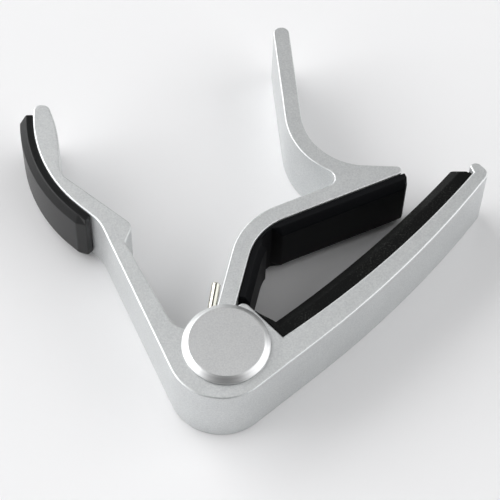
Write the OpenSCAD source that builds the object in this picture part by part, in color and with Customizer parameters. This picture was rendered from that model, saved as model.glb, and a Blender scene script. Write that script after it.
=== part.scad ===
// Spring-loaded trigger capo for a guitar, lying on its side with the jaw closed.
// Millimetres. The origin is on the hinge axis, at the underside, and +Z runs along the hinge pin.
// Angles are counted from +X. A place in a limb's own frame is [along the limb, left of it].

/* [Body] */
// Thickness of both metal bodies, along the hinge pin
body_h = 18; // [17.5:0.5:20]
// Clearance between the closed jaw arm and its stop on the frame
stop_gap = 0.3; // [0.2:0.05:0.5]
// Adhesive gap behind each rubber pad
glue_gap = 0.05; // [0.03:0.01:0.1]

/* [String bar] */
// Direction of the string bar
bar_angle = 46; // [44:0.5:48]
// Length of the pad seat, from the hinge corner to the lip
seat_len = 58.2; // [56:0.2:60]
// Radius of the pad seat, which follows a cambered fretboard
seat_r = 220; // [180:5:400]
// Distance of the seat's deepest point from the bar's own centre line
seat_drop = 8.66; // [8.2:0.02:9.2]
// Distance of the seat's start from the hinge axis, along the bar
seat_start = 9.9; // [9.7:0.1:10.5]
// Distance of the outer wall from the hinge axis
bar_wall = 11.52; // [11.2:0.02:12]
// Angle between the outer wall's straight part and the bar
bar_wall_lean = 3.6; // [2.5:0.1:4.5]
// How far the outer wall's curve reaches towards its tip, from 0 to 1
bar_bow_share = 0.93; // [0.85:0.01:0.93]
// Angle of the outer wall at the tip, relative to the bar
bar_tip_lean = 9.5; // [8.5:0.1:10.5]
// Thickness of the bar at its tip
bar_tip_t = 3.1; // [2.8:0.1:3.6]
// Length of the lip beyond the seat
lip_len = 2.6; // [2.5:0.1:3.2]
// Height of the lip above the seat's end
lip_h = 1.7; // [1.5:0.1:2]

/* [Rear handle] */
// Direction of the rear limb's outer wall
grip_angle = 116.3; // [115:0.1:117]
// Distance of that wall from the hinge axis
grip_wall = 12.7; // [12.4:0.1:13]
// Direction of the limb's inner wall
limb_in_angle = 119.9; // [119:0.1:120.5]
// Distance of the inner wall from the hinge axis
limb_in_wall = 7.63; // [7.3:0.01:7.8]
// Distance of the handle's tip from the hinge axis, along the limb
handle_len = 71.6; // [70:0.2:73]
// How far the handle's outer bow reaches towards its tip, from 0 to 1
grip_bow_share = 0.89; // [0.8:0.01:0.9]
// Radius of the rounded outer corner by the hinge
corner_r = 11.5; // [10.5:0.1:12]

/* [Jaw] */
// Direction of the jaw arm
arm_angle = 78.7; // [78:0.1:79.5]
// Distance of the arm's pad side from the hinge axis
arm_side = 0.29; // [0.1:0.01:0.5]
// Thickness of the arm
arm_t = 3.72; // [3.4:0.02:3.9]
// Direction of the jaw
jaw_angle = 26.3; // [25.5:0.1:27]
// Distance of the jaw's pad side from the hinge axis
jaw_side = 22.8; // [22.2:0.1:23.2]
// Thickness of the jaw next to the bend
jaw_t = 3.5; // [3.2:0.1:3.8]
// Distance of the jaw's tip from the hinge axis, along the jaw
jaw_reach = 51.9; // [51:0.1:53]
// Inner radius of the bend
bend_in_r = 13; // [11:0.5:14]
// Outer radius of the bend
bend_out_r = 16; // [14:0.5:17]
// Height of the jaw's tip end, from its pad side to the flat back
jaw_tip_t = 1.68; // [1.5:0.02:2.2]

/* [Trigger] */
// Direction of the trigger blade
trigger_angle = 98; // [97:0.5:99]
// Distance of the blade's palm side from the hinge axis
trigger_side = 18.6; // [18.3:0.1:19]
// Thickness of the blade
trigger_t = 3.6; // [3.4:0.1:3.8]
// Distance of the blade's tip from the hinge axis
trigger_reach = 78.9; // [76:0.5:80]
// Radius of the sweep from the jaw's back into the blade
sweep_r = 14; // [12:0.5:15]
// Radius of the palm side of the blade's root
root_r = 17; // [15:0.5:18]

/* [Pads] */
// Step from the metal's face to the pads' face, at the top and the underside
pad_inset = 0.5; // [0.3:0.05:0.8]
// Height of the bevel along each pad's raised face
pad_bevel = 2.2; // [1.8:0.1:2.6]
// Thickness of the string pad at mid-length
string_pad_t = 5; // [4.6:0.1:5.4]
// Thickness of the string pad at its flat top
string_pad_edge_t = 2.8; // [2.4:0.1:3.2]
// Radius of the string pad's face
string_face_r = 262; // [240:2:290]
// Thickness of the neck pad's blocks
neck_pad_t = 2.65; // [2.3:0.05:3]
// Thickness of the neck pad's backing strip
neck_strip_t = 1.4; // [1.1:0.1:1.6]
// Thickness of the neck pad's thin web in the bend
neck_web_t = 0.6; // [0.5:0.05:1]
// Thickness of the grip pad
grip_pad_t = 2.7; // [2.4:0.05:3]
// Thickness of the grip pad at its upper end
grip_tip_t = 3.1; // [2.8:0.05:3.3]
// Thickness of the grip pad's backing strip
grip_strip_t = 1.65; // [1.4:0.05:1.8]

/* [Hinge] */
// Thickness of each of the frame's two ears
ear_t = 3.2; // [3.1:0.1:3.5]
// Radius of the ears where the jaw arm passes
ear_r = 8.8; // [8.7:0.1:9]
// Gap between the ears' rim and the arm's shoulders
shoulder_gap = 0.25; // [0.2:0.05:0.4]
// Radius of the round pocket between the ears
pocket_r = 8; // [7.8:0.1:8.2]
// Radius of the jaw's knuckles
knuckle_r = 7; // [6.9:0.1:7.2]
// Thickness of each knuckle
knuckle_t = 1.7; // [1.6:0.05:1.8]
// Radius of the hinge barrel
pin_r = 2.5; // [2.4:0.05:2.6]
// Radial clearance of the barrel in the ears
ear_fit = 0.02; // [0.01:0.01:0.04]
// Radial clearance of the barrel in the knuckles
knuckle_fit = 0.05; // [0.03:0.01:0.08]
// Thickness of the thrust washers
washer_t = 0.4; // [0.3:0.05:0.4]
// Play on each face of a thrust washer
washer_play = 0.05; // [0.03:0.01:0.08]

/* [Caps] */
// Radius of the upper cap
cap_r = 9.25; // [9.1:0.05:9.5]
// Height of the upper cap above the frame
cap_h = 1.68; // [1.4:0.02:2]
// Height of the upper cap's plain rim, under its bevel
cap_rim_h = 0.55; // [0.4:0.05:0.7]
// Radius of the upper cap's flat
cap_flat_r = 7.97; // [7.6:0.01:8.3]
// Radius of the upper cap's stem
stem_r = 1.5; // [1.3:0.1:1.6]
// Length of that stem below the frame's top
stem_len = 5; // [4:0.5:6]
// Radius of the lower cap, which lies flush in the frame
lower_cap_r = 7; // [6.6:0.1:7.2]
// Thickness of the lower cap
lower_cap_t = 1.2; // [1:0.05:1.25]
// Radius of the barrel's head
barrel_head_r = 4; // [3.8:0.1:4.4]
// Thickness of the barrel's head
barrel_head_t = 1.5; // [1.3:0.1:1.6]
// Radius of the screw's head
screw_head_r = 3.6; // [3.4:0.1:4]
// Thickness of the screw's head
screw_head_t = 0.9; // [0.8:0.05:0.95]
// Radius of the screw
screw_r = 1.6; // [1.4:0.1:1.7]
// Distance of the screw's end above the underside
screw_end = 10; // [9:0.5:11]

/* [Spring] */
// Diameter of the spring wire
wire_d = 2; // [1.9:0.05:2.1]
// Mean radius of the coil
coil_r = 4.8; // [4.76:0.02:4.9]
// Direction of the leg that presses the jaw arm
leg_angle = 83.3; // [83.1:0.1:84]
// Length of that leg, from the coil
leg_len = 17.4; // [15:0.2:19]
// Direction of the leg that is held in the frame
anchor_angle = 290; // [286:1:294]
// Length of that leg, from the coil
anchor_len = 9.2; // [8.4:0.1:9.4]
// Full turns between the two legs, besides the part turn
coil_turns = 2; // [2]

/* [Hidden] */
$fn = 96;
aluminium = "silver";
rubber = [0.09, 0.09, 0.09];
steel = [0.75, 0.75, 0.72];
arc_error = 0.015;
cut = 1;
fit_gap = 0.1;

// Levels of the hinge, from the underside up
knuckle_low = ear_t + washer_t + 2 * washer_play;
knuckle_high = body_h - knuckle_low;
coil_low = knuckle_low + knuckle_t;
coil_high = body_h - coil_low;
coil_end_gap = 0.15;
leg_z = coil_high - coil_end_gap - wire_d / 2;
anchor_z = coil_low + coil_end_gap + wire_d / 2;
barrel_low = lower_cap_t + 1.05;
stem_low = body_h - stem_len;
sleeve_r = coil_r - wire_d / 2 - 0.3;
washer_r = 5.6;
tail_t = 0.9;
wedge_t = 1.45;
wedge_len = 8.5;
pad_low = pad_inset;
pad_high = body_h - pad_inset;

// Points and lines in the plane
function unit(a) = [cos(a), sin(a)];
function on(a, along, across) = [along * cos(a) - across * sin(a), along * sin(a) + across * cos(a)];
function turn(u, v) = u[0] * v[1] - u[1] * v[0];
// Point where the line through p at angle a meets the line through q at angle b
function meet(p, a, q, b) = p + unit(a) * turn(q - p, unit(b)) / turn(unit(a), unit(b));
function heading(v) = atan2(v[1], v[0]);
// Turn from one heading to another, between -180 and 180 degrees
function swing(a, b) = let(d = b - a) d - 360 * floor((d + 180) / 360);
function steps(r, sweep) = max(1, ceil(abs(sweep) / (2 * acos(1 - min(arc_error / r, 0.5)))));
// Points of an arc about c, from angle a over the given sweep
function arc(c, r, a, sweep) =
  let(n = steps(r, sweep)) [for (i = [0:n]) c + r * unit(a + sweep * i / n)];
// Stations [x, y, heading] of the arc of radius r that rounds corner b, between neighbours a and c
function turned(a, b, c, r) =
  let(
    h0 = heading(b - a),
    sweep = swing(h0, heading(c - b)),
    side = sweep > 0 ? 90 : -90,
    start = b - unit(h0) * r * tan(abs(sweep) / 2),
    centre = start + r * unit(h0 + side),
    n = steps(r, sweep)
  )
  [for (i = [0:n])
    let(w = centre + r * unit(h0 - side + sweep * i / n)) [w[0], w[1], h0 + sweep * i / n]];
function rounding(a, b, c, r) = [for (q = turned(a, b, c, r)) [q[0], q[1]]];
// Closed outline from a list of [corner, radius]
function rounded(corners) =
  let(n = len(corners))
  [for (i = [0:n - 1])
    let(a = corners[(i + n - 1) % n][0], b = corners[i][0], c = corners[(i + 1) % n][0], r = corners[i][1])
    each (r == 0 ? [b] : rounding(a, b, c, r))];

// String bar: the seat's arc and the outer wall
seat_centre = on(bar_angle, seat_start + seat_len / 2, seat_r - seat_drop);
seat_half = asin(seat_len / 2 / seat_r);
seat_v = seat_r * (1 - cos(seat_half)) - seat_drop;
seat_first = on(bar_angle, seat_start, seat_v);
bar_wall_angle = bar_angle - bar_wall_lean;
bar_tip_angle = bar_angle + bar_tip_lean;
bar_wall_point = on(bar_wall_angle, 0, -bar_wall);
bar_tip_point = on(bar_angle, seat_start + seat_len, seat_v - bar_tip_t);
lip_point = on(bar_angle, seat_start + seat_len + lip_len, 0);
lip_top = seat_v + lip_h;
wall_corner = meet(bar_wall_point, bar_wall_angle, bar_tip_point, bar_tip_angle);
lip_corner = meet(bar_tip_point, bar_tip_angle, lip_point, bar_angle + 90);
bar_wall_r = bar_bow_share * norm(lip_corner - wall_corner) / tan((bar_wall_lean + bar_tip_lean) / 2);
lip_lean = 0.65;
tip_out_r = 1.9;
tip_in_r = 1.45;

// Rear handle: places along the limb and left of it
bump_r = 0.031 * handle_len;
waist_r = 0.056 * handle_len;
leaf_side_r = 0.503 * handle_len;
leaf_tip_r = 0.0222 * handle_len;
hollow_r = 0.112 * handle_len;
limb_wall_point = on(grip_angle, 0, grip_wall);
root_angle = 155.5;
root_lean = 174;
// A handle point, in shares of the handle's length
function handle(along, across) = on(grip_angle, along * handle_len, across * handle_len);
knuckle_bump = handle(0.4804, 0.0894);
waist = handle(0.7374, 0.2221);
leaf_side = handle(0.8701, 0.169);
leaf_tip_in = handle(0.9783, 0.1634);
leaf_tip_out = handle(1, 0.2032);
grip_bow = handle(0.7947, 0.2975);
grip_hollow = on(grip_angle, 0.5307 * handle_len, grip_wall);
grip_heading = heading(grip_bow - grip_hollow);
bow_sweep = swing(grip_heading, heading(leaf_tip_out - grip_bow));
grip_r = grip_bow_share * norm(leaf_tip_out - grip_bow) / tan(abs(bow_sweep) / 2);
limb_len = 0.4413 * handle_len;
limb_in_point = on(limb_in_angle, 0, limb_in_wall);
ear_last = ear_r * unit(root_angle);
stop_side = arm_side - stop_gap;
ear_first_angle = arm_angle + asin(stop_side / ear_r);

frame_outline = rounded(concat(
  [
    [meet(seat_first, bar_angle + 90, on(arm_angle, 0, stop_side), arm_angle), 1.55],
  ],
  [for (p = arc([0, 0], ear_r, ear_first_angle, root_angle - ear_first_angle)) [p, 0]],
  [
    [meet(ear_last, root_lean, limb_in_point, limb_in_angle), 4.2],
    [on(limb_in_angle, limb_len, limb_in_wall), 0.5],
    [knuckle_bump, bump_r],
    [waist, waist_r],
    [leaf_side, leaf_side_r],
    [leaf_tip_in, leaf_tip_r],
    [leaf_tip_out, leaf_tip_r],
    [grip_bow, grip_r],
    [grip_hollow, hollow_r],
    [meet(limb_wall_point, grip_angle, bar_wall_point, bar_wall_angle), corner_r],
    [wall_corner, bar_wall_r],
    [lip_corner, tip_out_r],
    [on(bar_angle, seat_start + seat_len + lip_len, lip_top), tip_in_r],
    [on(bar_angle, seat_start + seat_len + lip_lean, lip_top), 0.5],
  ],
  [for (p = arc(seat_centre, seat_r, bar_angle - 90 + seat_half, -2 * seat_half)) [p, 0]]
));

// Jaw: arm, bend, jaw and trigger
arm_in = on(arm_angle, 0, arm_side);
arm_out = on(arm_angle, 0, arm_side + arm_t);
jaw_in = on(jaw_angle, 0, jaw_side);
jaw_out = on(jaw_angle, 0, jaw_side + jaw_t);
jaw_end = on(jaw_angle, jaw_reach, jaw_side);
jaw_back_y = jaw_end[1] + jaw_tip_t;
bend_in = meet(arm_in, arm_angle, jaw_in, jaw_angle);
bend_out = meet(arm_out, arm_angle, jaw_out, jaw_angle);
blade_back = on(trigger_angle, 0, -trigger_side - trigger_t);
blade_palm = on(trigger_angle, 0, -trigger_side);
root_point = [20, jaw_back_y - 1.4];
root_lean_angle = -30;
shoulder_r = ear_r + shoulder_gap;

jaw_outline = rounded(concat(
  [
    [arm_in, 0],
    [bend_in, bend_in_r],
    [jaw_end, 0.5],
    [[jaw_end[0] + 0.2, jaw_back_y], 1],
    [meet([0, jaw_back_y], 0, blade_back, trigger_angle), sweep_r],
    [on(trigger_angle, trigger_reach, -trigger_side - trigger_t), 1.7],
    [on(trigger_angle, trigger_reach, -trigger_side), 1.7],
    [meet(blade_palm, trigger_angle, root_point, root_lean_angle), root_r],
    [meet(root_point, root_lean_angle, jaw_out, jaw_angle), 2],
    [bend_out, bend_out_r],
    [arm_out, 0],
  ]
));

// A ring between two radii
module ring(outer, inner, low, high) {
  translate([0, 0, low])
    difference() {
      cylinder(r = outer, h = high - low);
      translate([0, 0, -cut]) cylinder(r = inner, h = high - low + 2 * cut);
    }
}

// A rod on the hinge axis
module rod(radius, low, high) {
  translate([0, 0, low]) cylinder(r = radius, h = high - low);
}

// Plan of the space between the ears: the round pocket and the jaw arm's way out of it
module pocket_plan() {
  circle(r = pocket_r);
  polygon([
    on(arm_angle, 0, stop_side),
    on(arm_angle, 1.5 * ear_r, stop_side),
    on(limb_in_angle, 1.9 * ear_r, limb_in_wall),
    limb_in_point,
  ]);
}

module string_frame() {
  slot_w = wire_d + 2 * coil_end_gap;
  color(aluminium)
    difference() {
      linear_extrude(body_h) polygon(frame_outline);
      translate([0, 0, ear_t]) linear_extrude(body_h - 2 * ear_t) pocket_plan();
      rod(pin_r + ear_fit, -cut, body_h + cut);
      rod(lower_cap_r + ear_fit, -cut, lower_cap_t + ear_fit);
      rod(screw_head_r + fit_gap, -cut, barrel_low);
      rod(barrel_head_r + fit_gap, body_h - barrel_head_t - fit_gap, body_h + cut);
      rotate([0, 0, anchor_angle])
        translate([0, -coil_r - slot_w / 2, coil_low])
          cube([anchor_len + 0.3, slot_w, slot_w]);
    }
}

// The full-height arm ends in concave shoulders, and two knuckles turn on the barrel between the ears
module neck_jaw() {
  color(aluminium)
    difference() {
      union() {
        linear_extrude(body_h) polygon(jaw_outline);
        rod(knuckle_r, knuckle_low, coil_low);
        rod(knuckle_r, coil_high, knuckle_high);
      }
      rod(pin_r + knuckle_fit, -cut, body_h + cut);
      rod(shoulder_r, -cut, knuckle_low);
      rod(shoulder_r, knuckle_high, body_h + cut);
      rod(coil_r + wire_d / 2 + 0.3, coil_low, coil_high);
    }
}

// Solid through a list of rings that have the same number of points
module skin(rings) {
  n = len(rings);
  m = len(rings[0]);
  polyhedron(
    points = [for (ring = rings) each ring],
    faces = concat(
      [for (j = [1:m - 2]) [0, j, j + 1]],
      [for (i = [0:n - 2]) for (j = [0:m - 1]) each [
        [i * m + j, (i + 1) * m + j, (i + 1) * m + (j + 1) % m],
        [i * m + j, (i + 1) * m + (j + 1) % m, i * m + (j + 1) % m],
      ]],
      [for (j = [1:m - 2]) [(n - 1) * m, (n - 1) * m + j + 1, (n - 1) * m + j]]
    ),
    convexity = 6
  );
}

// Rubber section at a seat station [x, y, heading]: a strip on the metal and a bevelled raised face
function pad_ring(p, strip, face, low = pad_low) = [
  for (q = [
    [glue_gap, low], [strip, low], [face, pad_low + pad_bevel],
    [face, pad_high - pad_bevel], [strip, pad_high], [glue_gap, pad_high],
  ])
  let(w = [p[0], p[1]] + q[0] * unit(p[2] + 90)) [w[0], w[1], q[1]]];

// A station on a straight wall through p, at a distance along its heading
function station(p, h, s) = let(w = p + s * unit(h)) [w[0], w[1], h];

// String pad: height of its seat at a place along the bar, and its thickness there
function string_seat(u) =
  let(s = u - seat_start - seat_len / 2) seat_r - seat_drop - sqrt(seat_r * seat_r - s * s);
function string_t(u) =
  let(s = u - seat_start - seat_len / 2)
  string_face_r - seat_drop + string_pad_t - sqrt(string_face_r * string_face_r - s * s) - string_seat(u);
function string_station(u) = let(w = on(bar_angle, u, string_seat(u))) [w[0], w[1], bar_angle];
string_first = seat_start + glue_gap;
string_full = seat_start + seat_len - 2;
string_back = string_full + 1.4;
string_last = seat_start + seat_len - 0.15;
string_strip = string_pad_t - string_pad_edge_t;
string_steps = 14;

// Arched pad with a thin tail beside the lip, and a wedge along the hinge's side
module string_pad() {
  color(rubber) {
    skin(concat(
      [for (i = [0:string_steps])
        let(u = string_first + (string_full - string_first) * i / string_steps)
        pad_ring(string_station(u), string_t(u) - string_strip, string_t(u))],
      [
        pad_ring(string_station(string_back), 1.35, 1.35),
        pad_ring(string_station(string_back + 0.05), tail_t, tail_t),
        pad_ring(string_station(string_last), tail_t, tail_t),
      ]
    ));
    translate([0, 0, pad_low])
      linear_extrude(pad_high - pad_low)
        polygon([
          on(bar_angle, string_first + 0.02, seat_v + 1),
          on(bar_angle, string_first + wedge_t + 0.4, seat_v + 1.2),
          on(bar_angle, string_first + wedge_t, seat_v + 4.2),
          on(bar_angle, string_first + 0.15, seat_v + wedge_len),
          on(bar_angle, string_first + 0.02, seat_v + wedge_len),
        ]);
  }
}

// Neck pad: stations from the jaw's tip back to the bend and down the arm
neck_over = 0.85;
neck_pad_end = 12;
bend_centre = meet(
  on(jaw_angle, 0, jaw_side - bend_in_r), jaw_angle, on(arm_angle, 0, arm_side - bend_in_r), arm_angle
);
function bend_station(a) =
  let(w = bend_centre + bend_in_r * unit(a)) [w[0], w[1], a + 90];
// Thickness around the bend, where a thin web lets the pad fold between its two raised blocks
function around_bend(a, full) = lookup(a, [
  [jaw_angle + 97, full], [jaw_angle + 104.5, neck_web_t],
  [arm_angle + 67.5, neck_web_t], [arm_angle + 71.5, full],
]);
neck_turns = concat(
  [for (a = [90, 93.5, 97, 104.5, 109]) jaw_angle + a],
  [for (a = [62, 67.5, 71.5, 76, 80.5, 85, 90]) arm_angle + a]
);

module neck_pad() {
  color(rubber)
    skin(concat(
      [
        pad_ring(station(jaw_end, jaw_angle + 180, -neck_over), neck_strip_t - 0.2, neck_pad_t - 0.9),
        pad_ring(station(jaw_end, jaw_angle + 180, 0.8 - neck_over), neck_strip_t, neck_pad_t),
      ],
      [
        for (a = neck_turns)
          pad_ring(bend_station(a), around_bend(a, neck_strip_t), around_bend(a, neck_pad_t))
      ],
      [pad_ring(station(arm_in, arm_angle + 180, -neck_pad_end), neck_strip_t, neck_pad_t)]
    ));
}

// Grip pad: stations up the handle's bowed outer side, thicker towards the tip
grip_pad_start = 2.65;
grip_low_slant = 2.05;
grip_high_slant = 0.85;
grip_corner_cut = 1.9;
grip_steps = 14;
bow_first = grip_bow - grip_r * tan(abs(bow_sweep) / 2) * unit(grip_heading);
bow_centre = bow_first + grip_r * unit(grip_heading - 90);
bow_len = grip_r * (abs(bow_sweep) * PI / 180) - 0.7;
// A station at a distance along the bow
function bow_station(s) =
  let(h = grip_heading - s / grip_r * 180 / PI, w = bow_centre + grip_r * unit(h + 90)) [w[0], w[1], h];

module grip_pad() {
  color(rubber)
    skin(concat(
      [
        pad_ring(
          station(grip_hollow, grip_heading, grip_pad_start),
          grip_strip_t, grip_strip_t, pad_low + grip_corner_cut
        ),
        pad_ring(
          station(grip_hollow, grip_heading, grip_pad_start + grip_low_slant), grip_strip_t, grip_pad_t
        ),
      ],
      [for (i = [0:grip_steps])
        pad_ring(
          bow_station((bow_len - grip_high_slant) * i / grip_steps),
          grip_strip_t,
          grip_pad_t + (grip_tip_t - grip_pad_t) * i / grip_steps
        )],
      [pad_ring(bow_station(bow_len), grip_strip_t, grip_strip_t)]
    ));
}

// Spring wire section at p, square to a heading in plan
function wire_ring(p, h) = [
  for (k = [0:wire_sides - 1])
  let(a = 360 * k / wire_sides, w = [p[0], p[1]] + wire_d / 2 * cos(a) * unit(h + 90))
  [w[0], w[1], p[2] + wire_d / 2 * sin(a)]];
wire_sides = 12;
coil_first = anchor_angle - 90;
coil_sweep = 360 * coil_turns + coil_first - leg_angle - 90;
coil_steps = 52;

// The wire runs from the frame's slot around the sleeve, rising, and out behind the jaw arm
module torsion_spring() {
  anchor = on(anchor_angle, anchor_len, -coil_r);
  tip = on(leg_angle, leg_len, coil_r);
  color(steel)
    skin(concat(
      [wire_ring([anchor[0], anchor[1], anchor_z], anchor_angle + 180)],
      [for (i = [0:coil_steps])
        let(a = coil_first - coil_sweep * i / coil_steps, w = coil_r * unit(a))
        wire_ring([w[0], w[1], anchor_z + (leg_z - anchor_z) * i / coil_steps], a - 90)],
      [wire_ring([tip[0], tip[1], leg_z], leg_angle)]
    ));
}

// Plastic sleeve that keeps the coil off the barrel
module spring_sleeve() {
  color([0.86, 0.85, 0.8])
    ring(sleeve_r, pin_r + knuckle_fit, coil_low + fit_gap, coil_high - fit_gap);
}

// Headed barrel: a tapped bore below, and a bore for the cap's stem above
module hinge_barrel() {
  color(steel)
    difference() {
      union() {
        rod(pin_r, barrel_low, body_h - barrel_head_t);
        rod(barrel_head_r, body_h - barrel_head_t - fit_gap, body_h - fit_gap);
      }
      rod(screw_r + 0.05, barrel_low - cut, screw_end + 1);
      rod(stem_r + ear_fit, stem_low - 0.5, body_h + cut);
    }
}

module hinge_screw() {
  color(steel) {
    rod(screw_head_r, barrel_low - 0.05 - screw_head_t, barrel_low - 0.05);
    rod(screw_r, barrel_low - 0.1, screw_end);
  }
}

// Bevelled cap with a stem that is pressed into the barrel
module upper_cap() {
  low = body_h + glue_gap;
  top = body_h + cap_h;
  color(aluminium)
    rotate_extrude()
      polygon([
        [0, stem_low],
        [stem_r, stem_low],
        [stem_r, low],
        [cap_r, low],
        [cap_r, body_h + cap_rim_h],
        [cap_flat_r, top],
        [0, top],
      ]);
}

module lower_cap() {
  color(aluminium) rod(lower_cap_r, 0, lower_cap_t);
}

module upper_thrust_washer() {
  color("peru")
    ring(washer_r, pin_r + knuckle_fit, knuckle_high + washer_play, knuckle_high + washer_play + washer_t);
}

module lower_thrust_washer() {
  color("peru")
    ring(washer_r, pin_r + knuckle_fit, ear_t + washer_play, ear_t + washer_play + washer_t);
}

string_frame();
neck_jaw();
string_pad();
neck_pad();
grip_pad();
torsion_spring();
spring_sleeve();
hinge_barrel();
hinge_screw();
upper_cap();
lower_cap();
upper_thrust_washer();
lower_thrust_washer();
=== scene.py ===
# %% [markdown]
# # A trigger capo, dressed for rendering
# A capo clamps across a guitar's neck to raise its pitch. This one has two cast aluminium bodies
# that turn on one hinge pin, a strong wire spring, and black rubber pads where it meets the
# strings, the neck and the hand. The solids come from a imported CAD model, in metres and in one
# shared frame, so every piece already has its place. This lesson gives each of them the rounded
# edges and the surface of the real thing. Nothing is moved or resized on the way.

import math

import bmesh
import bpy
from mathutils import Matrix, Vector


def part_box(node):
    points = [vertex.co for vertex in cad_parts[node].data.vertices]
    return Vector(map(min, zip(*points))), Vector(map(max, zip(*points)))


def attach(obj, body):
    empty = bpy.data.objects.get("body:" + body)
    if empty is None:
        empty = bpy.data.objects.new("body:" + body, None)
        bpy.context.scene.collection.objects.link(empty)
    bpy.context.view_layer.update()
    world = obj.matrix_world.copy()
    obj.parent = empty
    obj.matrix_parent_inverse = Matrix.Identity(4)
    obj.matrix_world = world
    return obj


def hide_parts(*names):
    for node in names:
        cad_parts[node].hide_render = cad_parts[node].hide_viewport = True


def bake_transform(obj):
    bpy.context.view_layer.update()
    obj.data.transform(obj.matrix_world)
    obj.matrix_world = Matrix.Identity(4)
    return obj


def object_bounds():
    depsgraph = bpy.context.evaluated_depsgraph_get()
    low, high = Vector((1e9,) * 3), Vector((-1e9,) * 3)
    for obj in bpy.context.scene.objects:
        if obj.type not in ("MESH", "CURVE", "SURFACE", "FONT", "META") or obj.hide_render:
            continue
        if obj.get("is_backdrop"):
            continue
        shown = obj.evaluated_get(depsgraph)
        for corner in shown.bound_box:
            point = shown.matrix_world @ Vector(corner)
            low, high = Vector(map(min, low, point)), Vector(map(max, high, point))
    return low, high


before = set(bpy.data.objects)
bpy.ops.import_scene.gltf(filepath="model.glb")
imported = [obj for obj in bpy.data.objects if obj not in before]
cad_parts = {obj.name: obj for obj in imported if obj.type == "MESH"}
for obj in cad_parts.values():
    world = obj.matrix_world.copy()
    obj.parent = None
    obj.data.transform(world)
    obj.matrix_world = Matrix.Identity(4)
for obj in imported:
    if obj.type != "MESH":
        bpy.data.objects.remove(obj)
cad_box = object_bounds()
MM = 0.001
print("solids:", sorted(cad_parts))
print("size in mm:", [round((high - low) / MM, 1) for low, high in zip(*cad_box)])

# %% [markdown]
# ## The view
# The capo lies on its side and is seen from above and in front. A long lens, nearly half a metre
# away, keeps its outlines from converging much. A camera could be aimed at a target with a
# constraint, but its place and its angles are simply known in the solids' own frame. The pitch
# is counted from straight down, and the roll turns the camera by two degrees round its own axis.

# %% Place the camera
CAMERA_PLACE = (0.0042, -0.19206, 0.39879)
CAMERA_PITCH = 29.43
CAMERA_ROLL = 2.12
LENS_MM = 148.14
SENSOR_MM = 36

camera_data = bpy.data.cameras.new("camera")
camera_data.lens = LENS_MM
camera_data.sensor_width = SENSOR_MM
camera_data.clip_start = 0.01
camera = bpy.data.objects.new("camera", camera_data)
camera.matrix_world = (
    Matrix.Translation(CAMERA_PLACE)
    @ Matrix.Rotation(math.radians(CAMERA_PITCH), 4, "X")
    @ Matrix.Rotation(math.radians(CAMERA_ROLL), 4, "Z")
)
bpy.context.scene.collection.objects.link(camera)
bpy.context.scene.camera = camera
bpy.context.scene.view_settings.view_transform = "Standard"
print("camera:", LENS_MM, "mm lens at", CAMERA_PLACE)

# %% [markdown]
# ## Colours
# A colour is written as the hex value that a screen shows, because that is how people compare
# colours by eye. Blender's shaders work in linear light, so one function turns one into the
# other. The curve is the sRGB standard's own: a straight foot, then a power of 2.4.


# %% From screen colour to linear light
def linear(colour):
    """The linear RGBA of an sRGB hex colour."""
    channels = [int(colour[i : i + 2], 16) / 255 for i in (1, 3, 5)]
    return [c / 12.92 if c <= 0.04045 else ((c + 0.055) / 1.055) ** 2.4 for c in channels] + [1]


print("mid grey is", [round(c, 3) for c in linear("#808080")])

# %% [markdown]
# ## Nodes
# Materials are small graphs. Adding each node by hand takes four or five lines, which hides the
# recipe, so one function adds a node, sets its fields and fills its inputs. An input takes either
# a plain value or another node's output, and the function tells them apart.


# %% Add a node, start and finish a material
def add(tree, kind, inputs, **fields):
    """Adds a shader node. Each input gets a value, or a link if it is given an output socket."""
    node = tree.nodes.new("ShaderNode" + kind)
    for field, value in fields.items():
        setattr(node, field, value)
    for name, value in inputs.items():
        if isinstance(value, bpy.types.NodeSocket):
            tree.links.new(value, node.inputs[name])
        else:
            node.inputs[name].default_value = value
    return node


def blank(name):
    """A new material with an empty node tree."""
    material = bpy.data.materials.new(name)
    material.use_nodes = True
    material.node_tree.nodes.clear()
    return material


def finish_with(material, shader):
    """Joins a shader to the material's output and returns the material."""
    add(material.node_tree, "OutputMaterial", {"Surface": shader.outputs[0]})
    print("material:", material.name)
    return material


# %% [markdown]
# ## Bead-blasted, clear-anodised aluminium
# Both bodies are die cast, blasted with fine glass beads and anodised without dye. Blasting
# leaves shallow pits, so the metal mirrors nothing sharply: it glows softly and sparkles a
# little. An image texture could show that, but noise in the solid's own coordinates has no
# seams and needs no unwrapping. Real pits are about 0.1 mm wide. They are drawn 0.35 mm wide
# here, because finer ones vanish at this size. They set three things at once: the colour, the
# roughness and a small bump. A slow mottle, 6 mm across, stands for the casting's uneven skin.

# %% Sizes of the metal's texture
PIT_MM = 0.35
PIT_DEPTH_MM = 0.02
MOTTLE_MM = 6
MOTTLE_SHARE = 0.25
print("pits", PIT_MM, "mm wide, mottle", MOTTLE_MM, "mm")

# %% [markdown]
# The hinge cap is blasted too, but its bevel is cut on a lathe afterwards and keeps fine rings.
# Rings depend only on the distance from the axis, and the axis is the frame's own Z. So the
# cap's material measures that distance and swaps pits for rings beyond a given radius. Real
# rings are about 0.1 mm apart. They are drawn 0.3 mm apart, which is coarse enough to show.

# %% Lathe rings
RING_MM = 0.3


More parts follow.
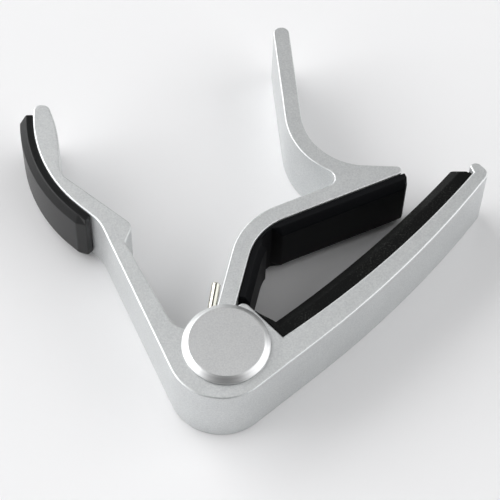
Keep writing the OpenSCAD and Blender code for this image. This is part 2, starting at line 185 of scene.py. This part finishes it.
def rings_beyond(tree, place, pits, radius_mm):
    """The pits within a radius round the Z axis, and lathe rings outside it."""
    across = add(tree, "VectorMath", {0: place, 1: (1, 1, 0)}, operation="MULTIPLY")
    length = add(tree, "VectorMath", {0: across.outputs["Vector"]}, operation="LENGTH")
    radius = length.outputs["Value"]
    scale = {"W": radius, "Scale": 1 / (RING_MM * MM), "Detail": 1.0}
    rings = add(tree, "TexNoise", scale, noise_dimensions="1D")
    turned = add(tree, "Math", {0: radius, 1: radius_mm * MM}, operation="GREATER_THAN")
    choice = {"Factor": turned.outputs[0], "A": pits, "B": rings.outputs["Fac"]}
    return add(tree, "Mix", choice).outputs["Result"]


# %% [markdown]
# One function makes both aluminium finishes. The relief, which is the pits or the rings, drives
# the colour ramp together with a share of the mottle. It also moves the roughness a little up
# and down, and its height makes the bump.


# %% The aluminium
def blasted_aluminium(name, colours, roughness, depth, rings_from_mm=None):
    """Satin metal between two colours, with pits of a given depth and rings beyond a radius."""
    material = blank(name)
    tree = material.node_tree
    place = add(tree, "TexCoord", {}).outputs["Object"]
    pits = add(tree, "TexNoise", {"Vector": place, "Scale": 1 / (PIT_MM * MM), "Detail": 2.0})
    relief = pits.outputs["Fac"]
    if rings_from_mm:
        relief = rings_beyond(tree, place, relief, rings_from_mm)

    mottle = add(tree, "TexNoise", {"Vector": place, "Scale": 1 / (MOTTLE_MM * MM), "Detail": 3.0})
    mixed = {0: mottle.outputs["Fac"], 1: MOTTLE_SHARE, 2: relief}
    both = add(tree, "Math", mixed, operation="MULTIPLY_ADD")
    spread = add(tree, "MapRange", {"Value": both.outputs[0], "From Min": 0.4, "From Max": 0.85})
    shade = add(tree, "ValToRGB", {"Fac": spread.outputs["Result"]})
    for element, colour in zip(shade.color_ramp.elements, colours):
        element.color = linear(colour)

    dull = {"Value": relief, "To Min": roughness - 0.05, "To Max": roughness + 0.07}
    bump = {"Height": relief, "Strength": depth, "Distance": PIT_DEPTH_MM * MM}
    shader = {
        "Base Color": shade.outputs["Color"],
        "Metallic": 1.0,
        "Roughness": add(tree, "MapRange", dull).outputs["Result"],
        "Normal": add(tree, "Bump", bump).outputs["Normal"],
    }
    return finish_with(material, add(tree, "BsdfPrincipled", shader))


# %% [markdown]
# The castings get a pale, slightly cool grey, and a roughness of 0.5, which is typical of bead
# blasting. The cap is a little paler and smoother, and its pits are half as deep. Its bevel
# starts about 8 mm from the axis. Both finishes keep the default IOR, as metals do.

# %% Cast and turned aluminium
CAST_GREYS = ("#cccecf", "#dddfdf")
CAP_GREYS = ("#d4d5d6", "#e2e3e3")
BEVEL_FROM_MM = 7.95

cast_aluminium = blasted_aluminium("bead_blasted_aluminium", CAST_GREYS, 0.5, depth=0.5)
turned_aluminium = blasted_aluminium(
    "satin_turned_aluminium", CAP_GREYS, 0.42, depth=0.25, rings_from_mm=BEVEL_FROM_MM
)

# %% [markdown]
# ## Moulded rubber
# The pads are moulded in black synthetic rubber, about as hard as a car tyre. Rubber looks deep
# black because its carbon black swallows nearly all light, and it is dull because the mould was
# etched, which leaves a skin of grains about 0.3 mm wide. Handling leaves pale specks of dust.
# The specks come from one noise that decides where a grain of dust sits, plus a slow one that
# gathers them in patches. Real specks are under 0.1 mm wide and are drawn 0.35 mm wide, so that
# they show. Rubber's IOR is about 1.52. Its specular level is turned down, since the etched skin
# hides most of the gloss.

# %% Sizes of the rubber's texture
GRAIN_MM = 0.3
GRAIN_DEPTH_MM = 0.05
SPECK_MM = 0.35
PATCH_MM = 9
PATCH_SHARE = 0.35
DUST_FROM, DUST_FULL = 0.72, 0.86
RUBBER_IOR = 1.52
print("grains", GRAIN_MM, "mm wide, specks of dust", SPECK_MM, "mm")

# %% [markdown]
# Dust could be scattered as small objects, but mixing a second colour in costs nothing and moves
# with the pad. The sum of the two dust noises passes a ramp that keeps only its highest peaks.


# %% The rubber
def moulded_rubber(name, colour, dust, dust_amount, roughness, gloss):
    """Dull black rubber with etched grains and specks of dust."""
    material = blank(name)
    tree = material.node_tree
    place = add(tree, "TexCoord", {}).outputs["Object"]
    grains = add(tree, "TexNoise", {"Vector": place, "Scale": 1 / (GRAIN_MM * MM), "Detail": 3.0})
    speck_shape = {"Vector": place, "Scale": 1 / (SPECK_MM * MM), "Detail": 3.0, "Roughness": 0.6}
    specks = add(tree, "TexNoise", speck_shape)
    patches = add(tree, "TexNoise", {"Vector": place, "Scale": 1 / (PATCH_MM * MM), "Detail": 2.0})

    gathered = {0: patches.outputs["Fac"], 1: PATCH_SHARE, 2: specks.outputs["Fac"]}
    amount = add(tree, "Math", gathered, operation="MULTIPLY_ADD")
    peaks = {"Value": amount.outputs[0], "From Min": DUST_FROM, "From Max": DUST_FULL}
    fall = add(tree, "MapRange", {**peaks, "To Max": dust_amount})
    # A colour Mix node keeps its two colours in inputs 6 and 7 and gives its result in output 2.
    layers = {"Factor": fall.outputs["Result"], 6: linear(colour), 7: linear(dust)}
    dusty = add(tree, "Mix", layers, data_type="RGBA")

    bump = {"Height": grains.outputs["Fac"], "Strength": 0.5, "Distance": GRAIN_DEPTH_MM * MM}
    shader = {
        "Base Color": dusty.outputs[2],
        "Roughness": roughness,
        "IOR": RUBBER_IOR,
        "Specular IOR Level": gloss,
        "Normal": add(tree, "Bump", bump).outputs["Normal"],
    }
    return finish_with(material, add(tree, "BsdfPrincipled", shader))


# %% [markdown]
# The three pads differ. The string pad rubs on strings and shows the most dust. The neck pad is
# a faintly blue black. The grip pad is polished by the hand, so it is smoother and glossier.

# %% Three rubbers
string_rubber = moulded_rubber(
    "string_pad_rubber", "#090a0a", dust="#565854", dust_amount=0.25, roughness=0.6, gloss=0.1
)
neck_rubber = moulded_rubber(
    "neck_pad_rubber", "#050609", dust="#1c1e22", dust_amount=0.2, roughness=0.55, gloss=0.12
)
grip_rubber = moulded_rubber(
    "grip_pad_rubber", "#08090a", dust="#2a2b2a", dust_amount=0.2, roughness=0.35, gloss=0.28
)

# %% [markdown]
# ## Steel, bronze and nylon
# The spring is hard-drawn wire, nickel plated, so bright that it mirrors the lamps and the dark
# seam of the tent as separate stripes. The barrel and the screw are plain turned steel, and the
# thrust washers are sintered bronze. Each is a bought part with a smooth surface, so it needs
# only its metal's own colour and a faint grain, 0.15 mm wide, that varies the roughness.


# %% The smooth metals
def smooth_metal(name, colour, roughness, grain_mm=0.15):
    """Smooth metal whose roughness varies with a faint grain."""
    material = blank(name)
    tree = material.node_tree
    place = add(tree, "TexCoord", {}).outputs["Object"]
    grain = add(tree, "TexNoise", {"Vector": place, "Scale": 1 / (grain_mm * MM), "Detail": 2.0})
    dull = {"Value": grain.outputs["Fac"], "To Min": roughness * 0.8, "To Max": roughness * 1.3}
    shader = {
        "Base Color": linear(colour),
        "Metallic": 1.0,
        "Roughness": add(tree, "MapRange", dull).outputs["Result"],
    }
    return finish_with(material, add(tree, "BsdfPrincipled", shader))


plated_wire = smooth_metal("nickel_plated_wire", "#e6e3d8", roughness=0.1)
turned_steel = smooth_metal("turned_steel", "#b9b9b7", roughness=0.3)
bronze = smooth_metal("sintered_bronze", "#b08a58", roughness=0.35)

# %% [markdown]
# The sleeve inside the coil is natural nylon. It is milky, because light goes a little way in
# and scatters back, so it gets some subsurface weight. Its moulded skin has clouds of more and
# less gloss, about 2 mm wide.


# %% Natural nylon
def moulded_nylon(name, colour, cloud_mm=2):
    """Milky moulded nylon."""
    material = blank(name)
    tree = material.node_tree
    place = add(tree, "TexCoord", {}).outputs["Object"]
    cloud = add(tree, "TexNoise", {"Vector": place, "Scale": 1 / (cloud_mm * MM), "Detail": 2.0})
    dull = {"Value": cloud.outputs["Fac"], "To Min": 0.4, "To Max": 0.5}
    shader = {
        "Base Color": linear(colour),
        "Roughness": add(tree, "MapRange", dull).outputs["Result"],
        "IOR": 1.53,
        "Subsurface Weight": 0.1,
    }
    return finish_with(material, add(tree, "BsdfPrincipled", shader))


nylon = moulded_nylon("natural_nylon", "#dedbd0")

# %% [markdown]
# ## Rounded edges
# No cast or moulded edge is sharp. A radius of a few tenths of a millimetre runs along each one
# and catches the light as a bright line. A Bevel modifier would round every edge over one angle.
# Here only some edges are wanted, and the solids' flat faces are cut into long triangles that a
# bevel stumbles over. So the castings, the upper cap and the pads are copied, their flat
# triangles are joined into whole faces, and only the wanted edges are bevelled.

# %% Clean a copy of a solid
FLAT_WITHIN = math.radians(0.2)


def clean_shape(mesh, merge_mm):
    """A bmesh of the solid, with doubled points merged and flat triangles joined."""
    shape = bmesh.new()
    shape.from_mesh(mesh)
    bmesh.ops.remove_doubles(shape, verts=shape.verts, dist=merge_mm * MM)
    bmesh.ops.dissolve_limit(shape, angle_limit=FLAT_WITHIN, verts=shape.verts, edges=shape.edges)
    return shape


# %% [markdown]
# The bevel's own guard against overlaps is off. It would shrink every radius to what the
# shortest edge of the piece allows, and the fillets have very short ones. Afterwards all faces
# are shaded smooth, except across an edge that is still sharp.

# %% Round the edges of the copy
SHARP_OVER = math.radians(30)


def turn_of(edge):
    """The angle between an edge's two faces, in degrees."""
    return math.degrees(edge.calc_face_angle())


def round_edges(shape, edges, radius_mm, steps):
    """Bevels the edges, then shades all faces smooth except across what is still sharp."""
    bmesh.ops.bevel(
        shape,
        geom=edges,
        offset=radius_mm * MM,
        offset_type="OFFSET",
        segments=steps,
        profile=0.5,
        affect="EDGES",
        clamp_overlap=False,
        loop_slide=False,
    )
    for face in shape.faces:
        face.smooth = True
    for edge in shape.edges:
        edge.smooth = not edge.is_manifold or edge.calc_face_angle() < SHARP_OVER


# %% [markdown]
# The finished copy stands for its solid, which stays hidden and still collides. Weighted normals
# keep the copy's large faces flat to the eye. A second function then gives a piece its material
# and the body that it moves with.


# %% A rounded piece that stands for its solid
def rounded_copy(node, name, radius_mm, wanted, steps=4, merge_mm=0.002):
    """A copy of a solid on which each edge that wanted(edge) picks is rounded."""
    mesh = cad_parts[node].data.copy()
    mesh.name = name
    mesh.materials.clear()
    shape = clean_shape(mesh, merge_mm)
    edges = [e for e in shape.edges if len(e.link_faces) == 2 and wanted(e)]
    round_edges(shape, edges, radius_mm, steps)
    shape.to_mesh(mesh)
    shape.free()
    mesh.update()

    piece = bpy.data.objects.new(name, mesh)
    bpy.context.scene.collection.objects.link(piece)
    piece.modifiers.new("weighted_normals", "WEIGHTED_NORMAL").keep_sharp = True
    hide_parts(node)
    print(name, "has", len(edges), "rounded edges and", len(mesh.polygons), "faces")
    return piece


def dress(piece, material, body):
    """Gives a piece its material and the body it moves with."""
    piece.data.materials.append(material)
    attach(piece, body)


# %% [markdown]
# ## The two castings
# The frame carries the string bar and the rear handle, and the jaw carries the bend and the
# trigger. On both, only the rims of the two flat sides are rounded. The cut edges round the
# hinge's bores stay sharp, so the rim is found by its level, its angle and its distance from the
# hinge axis. The frame's rim has the larger radius, as it is the thicker casting.

# %% String frame and neck jaw
FLAT_SIDES = [corner[2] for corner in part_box("string_frame")]
SAME_LEVEL = 0.01 * MM
BORES_END = 8.5 * MM
RIM_TURN = 30


def outer_rim(edge):
    """True for an edge in one of the two flat sides, away from the hinge's bores."""
    a, b = (v.co for v in edge.verts)
    level = any(abs(a.z - z) < SAME_LEVEL and abs(b.z - z) < SAME_LEVEL for z in FLAT_SIDES)
    return level and turn_of(edge) > RIM_TURN and min(a.xy.length, b.xy.length) > BORES_END


string_frame = rounded_copy("string_frame", "cast_string_frame", radius_mm=0.4, wanted=outer_rim)
neck_jaw = rounded_copy("neck_jaw", "cast_neck_jaw", radius_mm=0.3, wanted=outer_rim)
dress(string_frame, cast_aluminium, "frame")
dress(neck_jaw, cast_aluminium, "jaw")

# %% [markdown]
# ## The hinge cap
# A round cap covers the hinge's pin. It could be turned again as a new profile, but the solid
# has the right one already. It only lacks the tiny radius that a lathe tool leaves wherever two
# faces meet. So the edges above the frame's top get 0.16 mm, and the stem, out of sight, none.

# %% Upper cap
CAP_TURN = 25


def cap_edge(edge):
    """True for an edge of the cap that stands above the castings."""
    return turn_of(edge) > CAP_TURN and edge.verts[0].co.z > FLAT_SIDES[1]


upper_cap = rounded_copy("upper_cap", "turned_hinge_cap", radius_mm=0.16, wanted=cap_edge)
dress(upper_cap, turned_aluminium, "frame")

# %% [markdown]
# ## The pads
# Each pad is one solid moulding, with a thin strip on the metal and a raised face with a bevel
# along both sides. They aren't cushions, so nothing is inflated or simulated. A mould doesn't
# leave sharp corners, so every edge gets a small radius. The string pad's solid has very short
# edges, so its points are merged over a longer distance first.

# %% String pad, neck pad and grip pad
MOULD_TURN = 18
PAD_STEPS = 3


def moulded_edge(edge):
    """True for an edge that a mould would round."""
    return turn_of(edge) > MOULD_TURN


string_pad = rounded_copy(
    "string_pad", "moulded_string_pad", 0.25, moulded_edge, steps=PAD_STEPS, merge_mm=0.03
)
neck_pad = rounded_copy("neck_pad", "moulded_neck_pad", 0.2, moulded_edge, steps=PAD_STEPS)
grip_pad = rounded_copy("grip_pad", "moulded_grip_pad", 0.25, moulded_edge, steps=PAD_STEPS)
dress(string_pad, string_rubber, "frame")
dress(neck_pad, neck_rubber, "jaw")
dress(grip_pad, grip_rubber, "frame")

# %% [markdown]
# ## The spring
# One wire, 2 mm thick, starts in a slot in the frame, winds twice round the pin while it rises,
# and comes out behind the jaw's arm. It could be a curve with a round bevel, but a mesh tube
# keeps control of its cut ends and of the rings that shade it. The levels of the wire's two legs
# come from the solid's own box, one wire radius in from its ends.

# %% The wire's sizes
WIRE_R = 1.0 * MM
COIL_R = 4.8 * MM
ANCHOR_ANGLE, ANCHOR_LEN = 290, 9.2 * MM
LEG_ANGLE, LEG_LEN = 83.3, 17.4 * MM
TURNS = 2
COIL_STEPS = 120
LEG_SHARES = (0.25, 0.5, 0.75, 0.97, 0.985, 1.0)

spring_low, spring_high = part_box("torsion_spring")
ANCHOR_Z = spring_low[2] + WIRE_R
LEG_Z = spring_high[2] - WIRE_R
print("the coil rises", round((LEG_Z - ANCHOR_Z) / MM, 2), "mm")

# %% [markdown]
# The route is a row of points along the middle of the wire, each with the wire's heading there.
# Both legs leave the coil along a tangent, so the wire has no kink where they begin. Two points
# lie close together just before the tip, so that the tip doesn't bend the leg's smooth shading.


# %% The wire's route
def polar(angle, radius):
    """The plan point at an angle in degrees and a radius."""
    return radius * math.cos(math.radians(angle)), radius * math.sin(math.radians(angle))


def on_tangent(angle, along, side):
    """A plan point on the coil's tangent that heads along an angle, on one side of the axis."""
    x, y = polar(angle, along)
    dx, dy = polar(angle + 90 * side, COIL_R)
    return x + dx, y + dy


def wire_route():
    """Points and headings along the wire: the anchor leg, the rising coil, the pressing leg."""
    first = ANCHOR_ANGLE - 90
    sweep = 360 * TURNS + first - LEG_ANGLE - 90
    route = [(*on_tangent(ANCHOR_ANGLE, ANCHOR_LEN, -1), ANCHOR_Z, ANCHOR_ANGLE + 180)]
    for i in range(COIL_STEPS + 1):
        share = i / COIL_STEPS
        angle = first - sweep * share
        route.append((*polar(angle, COIL_R), ANCHOR_Z + (LEG_Z - ANCHOR_Z) * share, angle - 90))
    for share in LEG_SHARES:
        route.append((*on_tangent(LEG_ANGLE, LEG_LEN * share, 1), LEG_Z, LEG_ANGLE))
    return route


spring_route = wire_route()
print("the wire's route has", len(spring_route), "points")

# %% [markdown]
# Each point of the route gets a ring that stands square to the wire's heading in plan. The coil
# rises so gently that the rings needn't lean. The first and last rings are smaller, which breaks
# the edges of the cut ends.

# %% The wire's tube
WIRE_SIDES = 24
TIP_SHARE = 0.8


def wire_ring(shape, point, radius):
    """A ring of points round one point of the route."""
    x, y, z, heading = point
    side = Vector((*polar(heading + 90, 1), 0))
    up = Vector((0, 0, 1))
    turns = [2 * math.pi * k / WIRE_SIDES for k in range(WIRE_SIDES)]
    spokes = [side * math.cos(t) + up * math.sin(t) for t in turns]
    return [shape.verts.new(Vector((x, y, z)) + radius * spoke) for spoke in spokes]


def wire_tube(route):
    """A closed tube along the route, as a bmesh."""
    shape = bmesh.new()
    ends = (0, len(route) - 1)
    radii = [WIRE_R * (TIP_SHARE if i in ends else 1) for i in range(len(route))]
    rings = [wire_ring(shape, point, radius) for point, radius in zip(route, radii)]
    for low, high in zip(rings, rings[1:]):
        for k in range(WIRE_SIDES):
            after = (k + 1) % WIRE_SIDES
            shape.faces.new((low[k], high[k], high[after], low[after]))
    shape.faces.new(rings[0])
    shape.faces.new(reversed(rings[-1]))
    bmesh.ops.recalc_face_normals(shape, faces=shape.faces)
    for face in shape.faces:
        face.smooth = len(face.verts) == 4
    return shape


# %% [markdown]
# The tube becomes a mesh and an object of its own. The solid's wire is replaced by it, because
# the solid has fewer sides and would show them in its mirror finish.

# %% The spring
wire_mesh = bpy.data.meshes.new("wire_spring")
tube = wire_tube(spring_route)
tube.to_mesh(wire_mesh)
tube.free()
wire_mesh.materials.append(plated_wire)
spring = bpy.data.objects.new("wire_spring", wire_mesh)
bpy.context.scene.collection.objects.link(spring)
print("the wire has", len(wire_mesh.polygons), "faces")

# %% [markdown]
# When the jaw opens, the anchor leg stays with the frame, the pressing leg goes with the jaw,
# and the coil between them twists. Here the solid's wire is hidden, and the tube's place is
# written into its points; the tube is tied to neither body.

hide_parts("torsion_spring")
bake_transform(spring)

# %% [markdown]
# ## The small parts of the hinge
# The barrel, screw, sleeve, washers and lower cap have simple turned shapes that the solids
# already give exactly. They keep their meshes and only get the materials of the real parts.

# %% Materials for the solids that stay
KEPT_SOLIDS = {
    "hinge_barrel": turned_steel,
    "hinge_screw": turned_steel,
    "spring_sleeve": nylon,
    "upper_thrust_washer": bronze,
    "lower_thrust_washer": bronze,
    "lower_cap": turned_aluminium,
}
for node, material in KEPT_SOLIDS.items():
    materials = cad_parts[node].data.materials
    materials.clear()
    materials.append(material)
    print(node, "is", material.name)

# %% [markdown]
# ## The table
# The capo lies on a white table. It could be a curved backdrop, but from above a plain square
# looks the same. Its white is a real paper white, so it keeps the soft shadows. It lies a hair
# below the capo's lowest face, so that the two don't flicker through each other.

# %% Table
TABLE_HALF = 1.5
TABLE_DROP = 0.02 * MM

corners = [(x * TABLE_HALF, y * TABLE_HALF, 0) for x, y in ((-1, -1), (1, -1), (1, 1), (-1, 1))]
table_mesh = bpy.data.meshes.new("table")
table_mesh.from_pydata(corners, [], [(0, 1, 2, 3)])
table = bpy.data.objects.new("table", table_mesh)
table.location.z = -TABLE_DROP
bpy.context.scene.collection.objects.link(table)

white = blank("white_table")
paint = add(white.node_tree, "BsdfPrincipled", {"Base Color": linear("#eeeeef"), "Roughness": 0.7})
table_mesh.materials.append(finish_with(white, paint))
table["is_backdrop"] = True

# %% [markdown]
# ## Soft boxes
# Metal shows what surrounds it, so the lamps are large. A wide box far to the left gives the
# shadows their direction and the left edges their bright line. A smaller one at the right lights
# the other edges. Two weak ones lift the front's left side and the middle of the flat tops.

# %% Lamps
LAMPS_AIM = Vector((0.004, 0.03, 0.01))


def soft_box(name, place, size, power):
    """A square area lamp, size in metres and power in watts, that looks at the capo."""
    data = bpy.data.lights.new(name, "AREA")
    data.energy = power
    data.size = size
    lamp = bpy.data.objects.new(name, data)
    lamp.location = place
    lamp.rotation_euler = (LAMPS_AIM - Vector(place)).to_track_quat("-Z", "Y").to_euler()
    bpy.context.scene.collection.objects.link(lamp)
    print(name, power, "W")


soft_box("left_box", (-1.15, 0.48, 0.56), size=1.8, power=26.5)
soft_box("right_box", (0.65, -0.05, 0.36), size=0.9, power=3.5)
soft_box("front_left_box", (-0.6, -0.25, 0.2), size=0.5, power=1.2)
soft_box("over_box", (0.02, 0.06, 0.42), size=0.2, power=0.12)

# %% [markdown]
# ## The tent
# A studio tent of white cloth surrounds the table. Its walls could be built as planes, but here
# the world glows in their place, which needs no geometry and serves every view. An even glow
# would make metal look flat, and a real tent isn't even. Its open front is darker, its roof is
# dimmer than its walls, and a dark seam runs over it from front to back, which draws a thin dark
# stripe along the bright wire. Each of the three is a ramp on the direction that the light comes
# from, and their product is the glow's strength.

# %% The tent's ramps
SEAM_X = 0.08
FRONT = {"From Min": -0.75, "From Max": -0.1, "To Min": 0.3, "To Max": 1.0}
SEAM = {"From Min": 0.1, "From Max": 0.18, "To Min": 0.1, "To Max": 0.7}
ROOF = {"From Min": 0.35, "From Max": 0.85, "To Min": 1.0, "To Max": 0.48}


def tent_strength(tree):
    """The glow's strength by direction: the front's, the seam's and the roof's ramps multiplied."""
    direction = add(tree, "TexCoord", {}).outputs["Generated"]
    parts = add(tree, "SeparateXYZ", {"Vector": direction})
    front = add(tree, "MapRange", {"Value": parts.outputs["Y"], **FRONT})
    shift = add(tree, "Math", {0: parts.outputs["X"], 1: SEAM_X}, operation="SUBTRACT")
    off_seam = add(tree, "Math", {0: shift.outputs[0]}, operation="ABSOLUTE")
    seam = add(tree, "MapRange", {"Value": off_seam.outputs[0], **SEAM})
    roof = add(tree, "MapRange", {"Value": parts.outputs["Z"], **ROOF})
    walls = {0: front.outputs["Result"], 1: seam.outputs["Result"]}
    lit_walls = add(tree, "Math", walls, operation="MULTIPLY")
    whole = {0: lit_walls.outputs[0], 1: roof.outputs["Result"]}
    return add(tree, "Math", whole, operation="MULTIPLY").outputs[0]


# %% [markdown]
# The glow itself is white, so it adds no colour to the metal.

# %% World
tent = bpy.data.worlds.new("tent")
tent.use_nodes = True
background = tent.node_tree.nodes["Background"]
background.inputs["Color"].default_value = linear("#ffffff")
tent.node_tree.links.new(tent_strength(tent.node_tree), background.inputs["Strength"])
bpy.context.scene.world = tent
print("world:", tent.name)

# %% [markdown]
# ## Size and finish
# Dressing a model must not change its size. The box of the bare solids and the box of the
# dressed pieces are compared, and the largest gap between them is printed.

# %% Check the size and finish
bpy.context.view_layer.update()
gaps = [abs(a - b) for solid, dressed in zip(cad_box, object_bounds()) for a, b in zip(solid, dressed)]
print("the two boxes agree to", round(max(gaps) / MM, 3), "mm")
